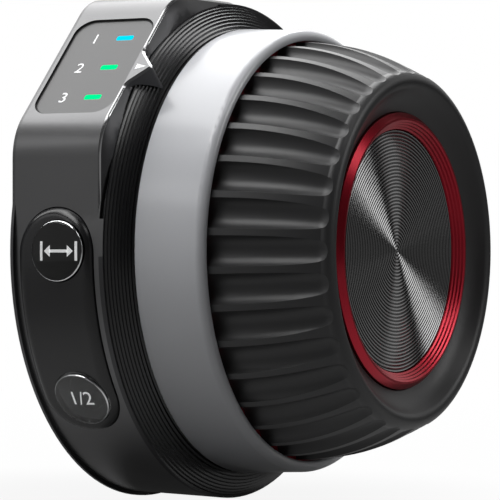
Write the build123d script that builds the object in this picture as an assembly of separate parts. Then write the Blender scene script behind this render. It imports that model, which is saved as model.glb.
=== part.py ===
from build123d import *
from math import acos, asin, cos, degrees, radians, sin, sqrt
import os

# Wireless handwheel controller: a flat drum body with a squared display corner, and a fluted
# wheel that turns on its front. X runs along the wheel axis from the rear mounting face to the
# front of the wheel, -Y is the side with the display and the buttons, Z is up. Millimetres.

# Fits and clearances
slip = 0.10            # gap round a piece that drops into its seat
screw_play = 0.02      # a screw's shank in its thread
bearing_play = 0.02    # radial play of the spindle in its bearings
overrun = 1.0          # how far a cutting shape passes a face
socket_sides = 6

# Body: the drum and its squared corner
drum_radius = 36.05        # at the front of the drum
drum_taper = 0.38          # the drum is that much smaller in radius at the rear
body_depth = 15.24         # rear face to the front of the drum
platform_setback = 0.69    # the squared corner stops this far behind the drum's front
facet_rise = 0.99          # display facet outside the drum's front radius
top_rise = 0.35            # flat top outside it
side_drop = 0.38           # flat side inside it
corner_round = 8.5
edge_break = 0.3           # bevel along the squared corner's front edge and the pointer
skirt_draw = 2.2           # how far the corner's front face draws in before the bezel
wall = 2.0
drum_wall = 2.47           # at the drum's rear edge
deck_thickness = 2.0
facet_angle = 136.3        # direction of the display facet round the axis, from +Y towards +Z

drum_rear_radius = drum_radius - drum_taper
platform_depth = body_depth - platform_setback
facet_distance = drum_radius + facet_rise
top_flat = drum_radius + top_rise
side_flat = drum_radius - side_drop
deck_front = platform_depth
deck_rear = deck_front - deck_thickness
cavity_radius = drum_rear_radius - drum_wall

# Pointer on the display facet
pointer_reach = 2.85       # ahead of the facet's front edge
pointer_half_width = 3.25
pointer_fillet = 2.2
pointer_tip_round = 0.5
pointer_root = 1.6         # depth of its root behind the facet's front edge
pointer_shoulder = 5.2     # half width of the root, fillets included
pointer_height = 5.6

# Rear cover
cover_lip = 0.6            # plate thickness that shows at the rim
cover_thickness = 2.2
cover_rim_overhang = 0.21
cover_bevel = 0.2
boss_height = 5.0          # mounting boss inside the cover
boss_half_width = 7.5
boss_half_length = 12.5

# Mounting interface in the cover
thread_radius = 3.175      # 1/4 inch camera thread
insert_radius = 4.5
insert_flange_radius = 6.0
insert_flange = 0.8
insert_length = 6.6
locating_radius = 2.0
locating_depth = 3.5
locating_offset = 9.0

# Cover screws and their bosses
cover_screw_angles = (20, 88, 240, 310)
cover_screw_inset = 2.6    # their circle inside the cavity's wall
cover_screw_circle = cavity_radius - cover_screw_inset
cover_boss_radius = 2.2
cover_head_radius = 1.9
cover_head_height = 1.1
cover_head_sink = 0.1
cover_shank_radius = 1.0
cover_shank_length = 5.5

# Grooved bezel
bezel_step = 0.15          # its rear edge inside the drum's front edge
bezel_collar_step = 0.4    # its collar inside that edge
bezel_drop = 4.2           # its front edge inside that edge
bezel_width = 1.7          # its front face
bezel_rise = 2.31          # its front face ahead of the drum
bezel_bulge_share = 0.10   # how far the shoulder bulges towards its square corner
bezel_grooves = 9
bezel_groove_depth = 0.16
lip_gap_start, lip_gap_end = 97, 173   # the drum's lip is left out in front of the squared corner

bezel_rear_radius = drum_radius - bezel_step
bezel_collar_radius = bezel_rear_radius - bezel_collar_step
bezel_front_radius = bezel_rear_radius - bezel_drop
bezel_inner_radius = bezel_front_radius - bezel_width
bezel_front = body_depth + bezel_rise

# Button bezel
pad_edge_gap = 1.57        # from the body's rear face and from the drum's front
pad_rise = 0.95            # its top outside the drum's front radius
pad_depth = 2.3
pad_round = 1.5
pad_angle = 197            # its middle direction round the axis
pad_side = 0.78            # its border in front of the buttons' holes
pad_end = 1.13             # its border past the upper button
pad_crease = 0.12

pad_centre = body_depth / 2
pad_width = body_depth - 2 * pad_edge_gap
pad_top_radius = drum_radius + pad_rise
pad_floor_radius = pad_top_radius - pad_depth

# Side buttons
button_shift = 0.95        # ahead of the bezel's middle
upper_button_angle = 180
lower_button_angle = 213.5
button_gap = 0.12
button_travel = 0.4
button_float = 0.5         # the head's underside above the pad's floor
button_sink = 0.65         # the lens's seat below the pad's top
lens_stand = 0.35          # the lens's edge above the pad's top
lens_rise = 0.4
lens_round = 0.25
stem_radius = 2.6
stem_lip_radius = 3.3
stem_lip_gap = 0.25        # between the lip and the cavity's wall
stem_lip_height = 0.75
stem_gap = 0.1

button_place = pad_centre + button_shift
button_radius = pad_width / 2 - button_shift - button_gap - pad_side
pad_reach = pad_top_radius * sin(radians(pad_angle - upper_button_angle)) + button_radius + pad_end
button_base = pad_floor_radius + button_float
button_face = pad_top_radius - button_sink
lens_edge = pad_top_radius + lens_stand
lens_crown = lens_edge + lens_rise
stem_lip_top = cavity_radius - stem_lip_gap
stem_end = stem_lip_top - stem_lip_height

# Switches behind the side buttons
switch_body = 4.5
switch_height = 1.6
plunger_radius = 1.0
plunger_height = 0.4
switch_free_gap = 0.05
switch_board_thickness = 1.0
switch_board_half = 4.5
switch_board_rear = 4.2
bracket_thickness = 1.5

# Power button, on the side that faces away from the display
power_angle = 54
power_radius = 2.5
power_gap = 0.1
power_rise = 0.25          # its face outside the drum's front radius
power_lip_radius = 3.2
power_lip_gap = 0.3        # between its lip and the cavity's wall
power_lip_height = 0.6
power_stem_radius = 1.5
power_stem_length = 4.3
power_travel = 0.3
power_face_round = 0.4

power_face = drum_radius + power_rise
power_lip_top = cavity_radius - power_lip_gap
power_stem_end = power_lip_top - power_stem_length

# Display window and light bars
window_rear_margin = 0.45  # from the cover's edge
window_front_margin = 0.35  # from the facet's front edge
window_length = 19.2
window_shift = 0.56        # up the facet from its foot on the axis
window_corner = 2.8
window_thickness = 0.9
window_recess = 0.3
gasket_width = 0.28
bar_forward = 2.37         # ahead of the window's middle
bar_length = 2.75
bar_width = 0.95
bar_corner = 0.3
bar_pitch = 6.0
bar_shift = 0.39           # up the facet, as window_shift
bar_slot_gap = 0.08

window_width = platform_depth - window_front_margin - cover_lip - window_rear_margin
window_place = cover_lip + window_rear_margin + window_width / 2
bar_place = window_place + bar_forward

# Indicator board behind the window
post_height = 1.4
post_radius = 1.5
indicator_board_thickness = 1.0
indicator_board_inset = 0.3    # its ends inside the window's
indicator_board_rear_gap = 0.7   # from the cover's spigot
indicator_board_front_gap = 0.75  # from the deck
indicator_screw_inset = 1.2    # from the board's ends
indicator_screw_edge = 1.7     # from its rear edge
indicator_shank_radius = 0.6
indicator_shank_length = 2.6
indicator_head_radius = 1.2
indicator_head_height = 0.7
led_length, led_width, led_height = 2.0, 0.8, 0.6
led_air = 0.05

indicator_board_half_length = window_length / 2 - indicator_board_inset
indicator_board_rear = cover_thickness + indicator_board_rear_gap
indicator_board_front = deck_rear - indicator_board_front_gap
indicator_screw_place = indicator_board_rear + indicator_screw_edge
indicator_screw_offset = indicator_board_half_length - indicator_screw_inset

# Main board
board_thickness = 1.2
board_standoff = 1.46
board_inset = 5.4          # its edge inside the cavity's wall
board_hole = 9.0
board_switch_gap = 5.25    # cut back that far from the side switches' brackets
board_tongue_inset = 0.8
board_tongue_half = 6.0
standoff_angles = (70, 135, 250, 330)
standoff_inset = 4.8       # from the board's edge
standoff_radius = 1.8
board_shank_radius = 0.8
board_shank_length = 3.2
board_head_radius = 1.5
board_head_height = 1.1

board_radius = cavity_radius - board_inset
board_tongue_reach = cavity_radius - board_tongue_inset
standoff_circle = board_radius - standoff_inset

# What the board carries
port_height = 3.2
port_half_width = 4.5
port_depth = 7.4
port_sink = 0.1            # its mouth inside the drum's rear radius
port_wall = 0.3
port_round = 1.3
port_tongue = 0.7
port_tongue_half = 3.2
port_gap = 0.2
port_floor = 1.0
module_length, module_width, module_height = 12.0, 10.0, 2.0
module_y, module_z = -11.0, 3.0
module_round = 0.6
antenna_length, antenna_width, antenna_height = 8.0, 3.0, 1.0
antenna_angle = 292
antenna_inset = 4.2        # from the board's edge to its middle
power_switch_depth = 3.6
power_switch_height = 3.58     # off the board
power_switch_half = 2.1
power_plunger_radius = 0.8

port_mouth = drum_rear_radius - port_sink
antenna_circle = board_radius - antenna_inset

# Battery
battery_board_gap = 1.69   # between the cell and the main board
battery_near = 8.4
battery_far_gap = 7.4      # from the cavity's wall on the axis
battery_end_gap = 16.2     # from the same radius to its ends
battery_round = 1.2
pad_thickness = 0.4
pad_margin = 2.0

battery_far = cavity_radius - battery_far_gap
battery_half_length = cavity_radius - battery_end_gap

# Spindle and what turns on it
spindle_radius = 3.0
spindle_flange_radius = 7.5
spindle_flange = 1.45
spindle_shoulder_radius = 4.0
spindle_screw_circle = 5.4
spindle_screws_count = 3
spindle_shank_radius = 0.8
spindle_shank_length = 3.1
spindle_head_radius = 1.4
spindle_head_height = 1.2
friction_thickness = 0.6
friction_gap = 0.1
tube_gap = 0.05            # axial play between hub, friction washer and bearings
bearing_radius = 6.0
bearing_width = 4.0
bearing_groove = 0.15
bearing_race_share = 0.3   # width of each race as a share of the bearing's section
bearing_spread = 13.8      # rear face of one bearing to rear face of the other
bearing_setback = 0.5      # rear bearing behind the hub tube's end
washer_radius = 4.5
washer_thickness = 0.8
retainer_head_radius = 2.75
retainer_head_height = 1.7
retainer_shank_radius = 1.5
retainer_shank_length = 8.0

# Position sensing and end stops
sensor_board_thickness = 1.0
sensor_board_inner, sensor_board_outer = 7.8, 17.0
sensor_size = 3.0
sensor_height = 0.8
sensor_circle = 10.0
magnet_width = 3.5
magnet_length = 2.0
magnet_setback = 0.2
wheel_limit = 150          # degrees each way
stop_pin_radius = 1.5
stop_pin_inset = 2.9       # from the inside of the hub's rim
stop_pin_angle = 270
lug_angle = 90
stop_pin_reach = 8.1
stop_pin_seat = 1.5
stop_gap = 0.3
lug_half_width = 2.0
lug_height = 3.5
lug_screw_offset = 16      # degrees from its middle
lug_shank_radius = 0.8
lug_shank_length = 4.6
lug_head_radius = 1.5
lug_head_height = 1.1

# Hub: radii step inwards from the bezel, places forwards from it
wheel_gap = 0.35           # between the bezel and the wheel
hub_flange_inset = 0.3
hub_flange_edge = 1.3
hub_flange_step = 1.0
hub_rim_wall = 1.5
hub_rim_length = 9.1
hub_web = 2.5
hub_tube_radius = 8.0
hub_shoulder_radius = 5.2
hub_core_length = 13.0
hub_core_inset = 1.0       # inside the grip's front corner
hub_core_wall = 2.0
hub_plug = 6.7             # thickness of the hub's solid front
hub_recess_inset = 3.1     # from the disc's edge
hub_recess = 4.7
hub_nose_inset = 10.46     # inside the grip's rear radius
hub_nose_length = 2.48
hub_nose_bevel_length = 0.77
hub_nose_bevel_drop = 0.79
hub_nose_land = 0.3
hub_nose_steps = 4
hub_nose_step_depth = 0.12

hub_rear = bezel_front + wheel_gap
hub_flange_radius = bezel_front_radius - hub_flange_inset
hub_rim_radius = hub_flange_radius - hub_flange_step
hub_rim_front = hub_rear + hub_rim_length
hub_core_front = hub_rim_front + hub_core_length
hub_nose_front = hub_core_front + hub_nose_length
hub_nose_rim = hub_nose_front + hub_nose_bevel_length
stop_circle = hub_rim_radius - hub_rim_wall - stop_pin_inset

# Marking ring
ring_overhang = 0.02       # its rear edge behind the hub's flange
ring_thickness = 0.9       # outside that flange
ring_taper = 0.5
ring_lap = 1.4             # over the grip's rear end
ring_lip_gap = 0.12        # outside the grip's rear end
ring_round = 1.2
ring_lip_round = 0.3

ring_rear = hub_rear - ring_overhang
ring_radius = hub_flange_radius + ring_thickness
ring_front = hub_rim_front + ring_lap

# Grip: a barrel that starts under the ring and falls away to its front corner, nose and dish
grip_inset = 0.3           # inside the hub's rim
grip_waist_length, grip_waist_drop = 8.4, 1.23
grip_overhang = 3.3        # its front corner ahead of the hub's core
grip_end_drop = 4.6
grip_nose_length, grip_nose_drop = 1.34, 6.2
grip_dish_setback, grip_dish_drop = 0.44, 7.15
grip_dish_depth = 0.3      # the dished front sinks that far below a straight cone
grip_inner_setback = 1.15  # behind the front corner
grip_inner_gap = 0.15      # outside the hub's nose
grip_lip_back = 0.25
flutes = 36
flute_radius = 2.3
flute_rear_depth = 1.5
flute_middle_depth = 1.35
flute_front_depth = 0.6
flute_end_setback = 0.7    # centre of a flute's round end, back from the grip's corner

grip_rear_radius = hub_rim_radius - grip_inset
ring_lip_radius = grip_rear_radius + ring_lip_gap
grip_waist = hub_rim_front + grip_waist_length
grip_waist_radius = grip_rear_radius - grip_waist_drop
grip_end = hub_core_front + grip_overhang
grip_end_radius = grip_rear_radius - grip_end_drop
grip_nose = grip_end + grip_nose_length
grip_nose_radius = grip_rear_radius - grip_nose_drop
grip_dish = grip_nose - grip_dish_setback
grip_dish_radius = grip_rear_radius - grip_dish_drop
hub_core_radius = grip_end_radius - hub_core_inset
hub_nose_radius = grip_rear_radius - hub_nose_inset
hub_nose_rim_radius = hub_nose_radius - hub_nose_bevel_drop
grip_inner = grip_end - grip_inner_setback
grip_inner_radius = hub_nose_radius + grip_inner_gap

# Front disc
disc_inset = 2.54          # inside the hub's nose
disc_gap = 0.15
disc_sink = 1.57           # its face behind the nose's rim
disc_thickness = 1.48
disc_grooves = 35
disc_groove_depth = 0.13

disc_radius = hub_nose_radius - disc_inset
disc_front = hub_nose_rim - disc_sink
hub_recess_radius = disc_radius - hub_recess_inset


def section(x):
    """A plane across the wheel axis at x; its own x and y run along +Y and +Z."""
    return Plane(origin=(x, 0, 0), x_dir=(0, 1, 0), z_dir=(1, 0, 0))


def radial(angle, x):
    """A plane through the axis at x that faces outwards in the given direction."""
    outward = (0, cos(radians(angle)), sin(radians(angle)))
    return Plane(origin=(x, 0, 0), x_dir=(1, 0, 0), z_dir=outward)


def polar(radius, angle):
    """A point across the axis, as y and z."""
    return radius * cos(radians(angle)), radius * sin(radians(angle))


def turned(*outline):
    """A solid turned about the wheel axis from points given as x and radius."""
    return revolve(make_face(Polyline(*outline, close=True)), Axis.X, 360)


def tube(start, end, outer, inner=0):
    return turned((start, inner), (start, outer), (end, outer), (end, inner))


def rod(plane, start, end, radius, place=(0, 0)):
    """A round bar along a plane's normal, from one distance to another."""
    return extrude(plane.offset(start) * Pos(*place) * Circle(radius), end - start)


def block(plane, start, end, width, length, place=(0, 0)):
    return extrude(plane.offset(start) * Pos(*place) * Rectangle(width, length), end - start)


def screw(head_radius, head_height, shank_radius, shank_length):
    """A socket screw along +X, its head's underside at the origin."""
    head = rod(section(-head_height), 0, head_height, head_radius)
    socket = section(-head_height) * RegularPolygon(head_radius / 2, socket_sides)
    shank = rod(section(0), 0, shank_length, shank_radius)
    return head + shank - extrude(socket, head_height / 2)


def corner_outline(x, inset=0):
    """The squared corner cut across the axis at x, drawn in by inset on every outer side."""
    side = side_flat - inset
    top = top_flat - inset
    reach = facet_distance - inset
    aside, up = polar(1, facet_angle)
    landing = drum_rear_radius - inset
    turn = degrees(acos(landing / top))
    points = (
        (0, 0),
        (-side, 0),
        (-side, (reach + side * aside) / up),
        ((reach - top * up) / aside, top),
        (0, top),
        polar(landing, 90 - turn),
    )
    corner = corner_round - inset
    outline = FilletPolyline(*points, radius=(0, 0, corner, corner, corner, 0), close=True)
    return section(x) * make_face(outline)


def body_outline(x, radius, inset=0):
    """The drum's circle and the squared corner together."""
    return section(x) * Circle(radius) + corner_outline(x, inset)


def drum_skin_radius(x):
    return drum_rear_radius + drum_taper * (x - cover_lip) / (body_depth - cover_lip)


def pad_prism(growth=0):
    """The button bezel's rounded outline, pushed through the drum wall."""
    face = radial(pad_angle, pad_centre)
    outline = SlotOverall(2 * (pad_reach + growth), pad_width + 2 * growth)
    start = pad_floor_radius * cos(asin(pad_reach / pad_top_radius)) - overrun
    return extrude(face.offset(start) * Rot(0, 0, 90) * outline, pad_top_radius + overrun - start)


def bezel_shoulder():
    """The grooved shoulder's outline: a convex curve with a notch between neighbouring crests."""
    rear = Vector(body_depth, bezel_rear_radius)
    front = Vector(bezel_front, bezel_front_radius)
    corner = Vector(bezel_front, bezel_rear_radius)
    middle = (rear + front) * (1 / 2)
    control = middle + (corner - middle) * (2 * bezel_bulge_share)
    inward = (front - rear).normalized().rotate(Axis.Z, -90)
    points = []
    for step in range(2 * bezel_grooves + 1):
        t = step / (2 * bezel_grooves)
        point = rear * (1 - t) ** 2 + control * (2 * t * (1 - t)) + front * t**2
        if step % 2:
            point = point + inward * bezel_groove_depth
        points.append((point.X, point.Y))
    return points


def bezel_envelope():
    """Everything inside the bezel, its shoulder smooth and grown by the slip."""
    rear = body_depth, bezel_rear_radius + slip
    front = bezel_front + slip, bezel_front_radius
    middle_radius = (bezel_rear_radius + bezel_front_radius) / 2
    bulge_x = bezel_bulge_share * (bezel_front - body_depth) / 2
    bulge_radius = bezel_bulge_share * (bezel_rear_radius - bezel_front_radius) / 2
    middle = ((body_depth + bezel_front) / 2 + bulge_x + slip,
              middle_radius + bulge_radius + slip)
    rest = Polyline(front, (bezel_front + slip, 0), (deck_front, 0),
                    (deck_front, bezel_collar_radius), (body_depth, bezel_collar_radius), rear)
    return revolve(make_face([ThreePointArc(rear, middle, front), rest]), Axis.X, 360)


def pointer():
    """The pointer on the facet: a bow that reaches forward over the bezel's shoulder."""
    root = platform_depth - pointer_root
    points = (
        (root, -pointer_shoulder),
        (platform_depth, -pointer_shoulder),
        (platform_depth, -pointer_half_width),
        (platform_depth + pointer_reach, 0),
        (platform_depth, pointer_half_width),
        (platform_depth, pointer_shoulder),
        (root, pointer_shoulder),
    )
    rounds = (0, 0, pointer_fillet, pointer_tip_round, pointer_fillet, 0, 0)
    plan = make_face(FilletPolyline(*points, radius=rounds, close=True))
    plane = radial(facet_angle, 0)
    bow = extrude(plane.offset(facet_distance - pointer_height) * plan, pointer_height)
    face = bow.faces().sort_by(Axis(plane.origin, plane.z_dir))[-1]
    edge = [e for e in face.edges() if e.center().X > platform_depth - slip]
    return chamfer(edge, edge_break) - bezel_envelope()


def housing_shell():
    skin = turned(
        (cover_lip, 0),
        (cover_lip, drum_rear_radius),
        (deck_front, drum_skin_radius(deck_front)),
        (deck_front, 0),
    )
    corner = extrude(corner_outline(cover_lip), platform_depth - edge_break - cover_lip)
    bevel = loft([corner_outline(platform_depth - edge_break),
                  corner_outline(platform_depth, edge_break)], ruled=True)
    skirt = loft([corner_outline(platform_depth, edge_break),
                  corner_outline(body_depth, skirt_draw)], ruled=True)
    lip = turned(
        (deck_front, bezel_collar_radius + slip),
        (deck_front, drum_skin_radius(deck_front)),
        (body_depth, drum_radius),
        (body_depth, bezel_collar_radius + slip),
    )
    far = 2 * drum_radius
    gap_middle = (lip_gap_start + lip_gap_end) / 2
    gap = Polyline((0, 0), polar(far, lip_gap_start), polar(far, gap_middle),
                   polar(far, lip_gap_end), close=True)
    lip = lip - extrude(section(deck_front - overrun) * make_face(gap), body_depth)
    skirt = skirt - tube(deck_front - overrun, body_depth + overrun, bezel_collar_radius + slip)
    shell = skin + corner + bevel + skirt + lip + pointer()
    cavity = extrude(body_outline(cover_lip, cavity_radius, wall), deck_rear - cover_lip)
    shell = shell - cavity
    for piece in housing_posts():
        shell = shell + piece
    for cut in housing_cuts():
        shell = shell - cut
    return shell


def housing_posts():
    """Bosses, stand-offs and brackets that are moulded onto the housing's inside."""
    for angle in cover_screw_angles:
        yield rod(section(cover_thickness), 0, deck_front - cover_thickness - overrun,
                  cover_boss_radius, polar(cover_screw_circle, angle))
    for angle in standoff_angles:
        yield rod(section(board_front), 0, deck_front - overrun - board_front,
                  standoff_radius, polar(standoff_circle, angle))
    for angle in (upper_button_angle, lower_button_angle):
        length = deck_front - overrun - switch_board_rear
        middle = switch_board_rear + length / 2
        yield block(radial(angle, middle), switch_board_seat - bracket_thickness,
                    switch_board_seat, length, 2 * switch_board_half)
    for place in indicator_screw_places():
        yield rod(radial(facet_angle, 0), indicator_board_top,
                  facet_inner + (wall - window_depth) / 2, post_radius, place)


def housing_cuts():
    """Holes, pockets and threads in the housing."""
    for angle in cover_screw_angles:
        yield rod(section(cover_thickness - overrun), 0, cover_shank_length + overrun,
                  cover_shank_radius + screw_play, polar(cover_screw_circle, angle))
    for angle in standoff_angles:
        yield rod(section(board_front - overrun), 0, board_shank_length,
                  board_shank_radius + screw_play, polar(standoff_circle, angle))
    for place in spindle_screw_places():
        yield rod(section(deck_rear - overrun), 0, deck_thickness + 2 * overrun,
                  spindle_shank_radius + slip, place)
    for place in lug_screw_places():
        yield rod(section(deck_rear - overrun), 0, deck_thickness + 2 * overrun,
                  lug_shank_radius + slip, place)
    # display facet
    facet = radial(facet_angle, 0)
    yield extrude(facet.offset(window_floor) * window_outline(), window_depth + overrun)
    for place in bar_places():
        slot = Pos(*place) * bar_outline(bar_slot_gap)
        yield extrude(facet.offset(facet_inner - overrun) * slot, wall + overrun)
    for place in indicator_screw_places():
        yield rod(facet, indicator_board_top - overrun,
                  indicator_screw_seat + indicator_shank_length + screw_play,
                  indicator_shank_radius + screw_play, place)
    # button bezel and buttons
    far = pad_top_radius + overrun
    yield tube(0, body_depth, far, pad_floor_radius) & pad_prism(pad_crease)
    for angle in (upper_button_angle, lower_button_angle):
        yield rod(radial(angle, button_place), stem_end, far, stem_radius + stem_gap)
    yield rod(radial(power_angle, power_place), power_stem_end, far, power_radius + power_gap)
    # charging port
    mouth = RectangleRounded(port_height + 2 * port_gap, 2 * (port_half_width + port_gap), port_round)
    yield extrude(radial(0, port_place).offset(cavity_radius - wall) * mouth, far)


def rear_cover():
    rim = drum_radius + cover_rim_overhang
    plate = turned((0, 0), (0, rim - cover_bevel), (cover_bevel, rim), (cover_lip, rim), (cover_lip, 0))
    bevel = loft([corner_outline(0, cover_bevel), corner_outline(cover_bevel)], ruled=True)
    plate = plate + bevel + extrude(corner_outline(cover_bevel), cover_lip - cover_bevel)
    spigot = body_outline(cover_lip, cavity_radius - slip, wall + slip)
    plate = plate + extrude(spigot, cover_thickness - cover_lip)
    boss = section(cover_thickness) * Rot(0, 0, 90) * SlotOverall(2 * boss_half_length,
                                                                  2 * boss_half_width)
    plate = plate + extrude(boss, boss_height)
    plate = plate - rod(section(-overrun), 0, insert_length + overrun, insert_radius)
    plate = plate - rod(section(-overrun), 0, insert_flange + overrun, insert_flange_radius)
    for side in (-1, 1):
        plate = plate - rod(section(-overrun), 0, locating_depth + overrun, locating_radius,
                            (0, side * locating_offset))
    for angle in cover_screw_angles:
        place = polar(cover_screw_circle, angle)
        plate = plate - rod(section(-overrun), 0, cover_thickness + 2 * overrun,
                            cover_shank_radius + slip, place)
        plate = plate - rod(section(-overrun), 0, overrun + cover_head_sink + cover_head_height,
                            cover_head_radius + slip, place)
    return plate


def rear_cover_screws():
    one = screw(cover_head_radius, cover_head_height, cover_shank_radius, cover_shank_length)
    seat = cover_head_sink + cover_head_height
    return [Pos(seat, *polar(cover_screw_circle, angle)) * one for angle in cover_screw_angles]


def mount_insert():
    return turned(
        (0, thread_radius),
        (0, insert_flange_radius),
        (insert_flange, insert_flange_radius),
        (insert_flange, insert_radius),
        (insert_length, insert_radius),
        (insert_length, thread_radius),
    )


def grooved_bezel():
    return turned(
        (deck_front, bezel_inner_radius),
        (deck_front, bezel_collar_radius),
        (body_depth, bezel_collar_radius),
        *bezel_shoulder(),
        (bezel_front, bezel_inner_radius),
    )


def button_bezel():
    ring = tube(0, body_depth, pad_top_radius, pad_floor_radius)
    pad = ring & pad_prism()
    rim = [e for e in pad.edges() if all(abs(reach_of(v) - pad_top_radius) < slip for v in e.vertices())]
    pad = fillet(rim, pad_round)
    far = pad_top_radius + overrun
    for angle in (upper_button_angle, lower_button_angle):
        pad = pad - rod(radial(angle, button_place), button_base - wall, far,
                        button_radius + button_gap)
    return pad


def reach_of(vertex):
    """A vertex's distance from the wheel axis."""
    return sqrt(vertex.Y**2 + vertex.Z**2)


def side_button(angle):
    """The button's base: a round head, a stem through the wall and the lip that keeps it in."""
    plane = radial(angle, button_place)
    head = rod(plane, button_base, button_face, button_radius)
    stem = rod(plane, stem_end, button_base, stem_radius)
    lip = rod(plane, stem_end, stem_lip_top, stem_lip_radius)
    return head + stem + lip


def side_button_lens(angle):
    """The clear domed cap on a side button, as one turned shape."""
    rise = lens_crown - lens_edge
    dome_radius = (button_radius**2 + rise**2) / (2 * rise)
    plane = radial(angle, button_place)
    blank = rod(plane, button_face, lens_crown, button_radius)
    ball = plane.offset(lens_crown - dome_radius) * Sphere(dome_radius)
    lens = blank & ball
    rim = [e for e in lens.faces().sort_by(Axis(plane.origin, plane.z_dir))[-1].edges()
           if e.geom_type == GeomType.CIRCLE]
    return fillet(rim, lens_round)


def power_button():
    plane = radial(power_angle, power_place)
    cap = rod(plane, power_lip_top - power_lip_height, power_face, power_radius)
    outer = cap.faces().sort_by(Axis(plane.origin, plane.z_dir))[-1]
    cap = fillet(outer.edges(), power_face_round)
    lip = rod(plane, power_lip_top - power_lip_height, power_lip_top, power_lip_radius)
    stem = rod(plane, power_stem_end, power_lip_top, power_stem_radius)
    return cap + lip + stem


def side_switch_board(angle):
    length = deck_rear - slip - switch_board_rear
    middle = switch_board_rear + length / 2
    return block(radial(angle, middle), switch_board_seat, switch_seat, length, 2 * switch_board_half)


def side_switch(angle):
    plane = radial(angle, button_place)
    body = block(plane, switch_seat, switch_seat + switch_height, switch_body, switch_body)
    plunger = rod(plane, switch_seat + switch_height, switch_seat + switch_height + plunger_height,
                  plunger_radius)
    return body + plunger


def window_outline(inset=0):
    """The window's outline on the facet."""
    outline = RectangleRounded(window_width - 2 * inset, window_length - 2 * inset,
                               window_corner - inset)
    return Pos(window_place, window_shift) * outline


def bar_outline(growth=0):
    return RectangleRounded(bar_length + 2 * growth, bar_width + 2 * growth, bar_corner + growth)


def display_window():
    plane = radial(facet_angle, 0).offset(window_floor)
    pane = extrude(plane * window_outline(gasket_width), window_thickness)
    for place in bar_places():
        pane = pane - extrude(plane * Pos(*place) * bar_outline(), window_thickness)
    return pane


def window_gasket():
    plane = radial(facet_angle, 0).offset(window_floor)
    return extrude(plane * (window_outline() - window_outline(gasket_width)), window_thickness)


def bar_places():
    """Centres of the light bars on the facet, top one first."""
    for row in (1, 0, -1):
        yield bar_place, bar_shift + row * bar_pitch


def light_bar(place):
    plane = radial(facet_angle, 0).offset(bar_foot)
    return extrude(plane * Pos(*place) * bar_outline(), window_floor + window_thickness - bar_foot)


def indicator_screw_places():
    for side in (-1, 1):
        yield indicator_screw_place, window_shift + side * indicator_screw_offset


def indicator_board():
    width = indicator_board_front - indicator_board_rear
    middle = indicator_board_rear + width / 2
    plane = radial(facet_angle, 0)
    board = block(plane, indicator_screw_seat, indicator_board_top, width,
                  2 * indicator_board_half_length, (middle, window_shift))
    for place in indicator_screw_places():
        board = board - rod(plane, indicator_screw_seat, indicator_board_top,
                            indicator_shank_radius + slip, place)
    return board


def indicator_leds():
    plane = radial(facet_angle, 0)
    return [block(plane, indicator_board_top, indicator_board_top + led_height, led_length,
                  led_width, place) for place in bar_places()]


def indicator_board_screws():
    one = screw(indicator_head_radius, indicator_head_height, indicator_shank_radius,
                indicator_shank_length)
    plane = radial(facet_angle, 0).offset(indicator_screw_seat)
    turn = Rot(0, -90, 0)
    return [plane * Pos(*place) * turn * one for place in indicator_screw_places()]


def main_board():
    outline = Circle(board_radius) + Pos(board_tongue_reach / 2, 0) * Rectangle(
        board_tongue_reach, 2 * board_tongue_half)
    cut_side = 2 * board_radius
    cut_place = polar(board_flat + cut_side / 2, pad_angle)
    outline = outline - Pos(*cut_place) * Rot(0, 0, pad_angle) * Rectangle(cut_side, cut_side)
    board = extrude(section(board_rear) * outline, board_thickness)
    board = board - rod(section(board_rear), 0, board_thickness, board_hole)
    for angle in standoff_angles:
        board = board - rod(section(board_rear), 0, board_thickness, board_shank_radius + slip,
                            polar(standoff_circle, angle))
    return board


def main_board_screws():
    one = screw(board_head_radius, board_head_height, board_shank_radius, board_shank_length)
    return [Pos(board_rear, *polar(standoff_circle, angle)) * one for angle in standoff_angles]


def radio_module():
    plane = section(board_rear - module_height)
    can = RectangleRounded(module_length, module_width, module_round)
    return extrude(plane * Pos(module_y, module_z) * can, module_height)


def antenna():
    plane = section(board_rear - antenna_height)
    strip = Rot(0, 0, antenna_angle) * Rectangle(antenna_width, antenna_length)
    return extrude(plane * Pos(*polar(antenna_circle, antenna_angle)) * strip, antenna_height)


def charging_port():
    plane = radial(0, port_place).offset(port_mouth - port_depth)
    outer = RectangleRounded(port_height, 2 * port_half_width, port_round)
    inner = RectangleRounded(port_height - 2 * port_wall, 2 * (port_half_width - port_wall),
                             port_round - port_wall)
    shell = extrude(plane * outer, port_depth)
    shell = shell - extrude(plane.offset(port_floor) * inner, port_depth)
    return shell + block(plane, 0, port_depth - port_floor, port_tongue, 2 * port_tongue_half)


def power_switch():
    plane = radial(power_angle, power_place)
    reach = power_stem_end - power_travel - switch_free_gap
    front = reach - plunger_height
    body = block(plane, front - power_switch_depth, front, power_switch_height,
                 2 * power_switch_half)
    return body + rod(plane, front, reach, power_plunger_radius)


def battery_cell():
    width = battery_far - battery_near
    middle = battery_near + width / 2
    plane = section(battery_rear)
    cell = extrude(plane * Pos(middle, 0) * Rectangle(width, 2 * battery_half_length),
                   battery_thickness)
    return fillet(cell.edges(), battery_round)


def battery_pad():
    width = battery_far - battery_near - 2 * pad_margin
    middle = battery_near + pad_margin + width / 2
    foam = RectangleRounded(width, 2 * (battery_half_length - pad_margin), pad_margin)
    return extrude(section(cover_thickness) * Pos(middle, 0) * foam, pad_thickness)


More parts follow.
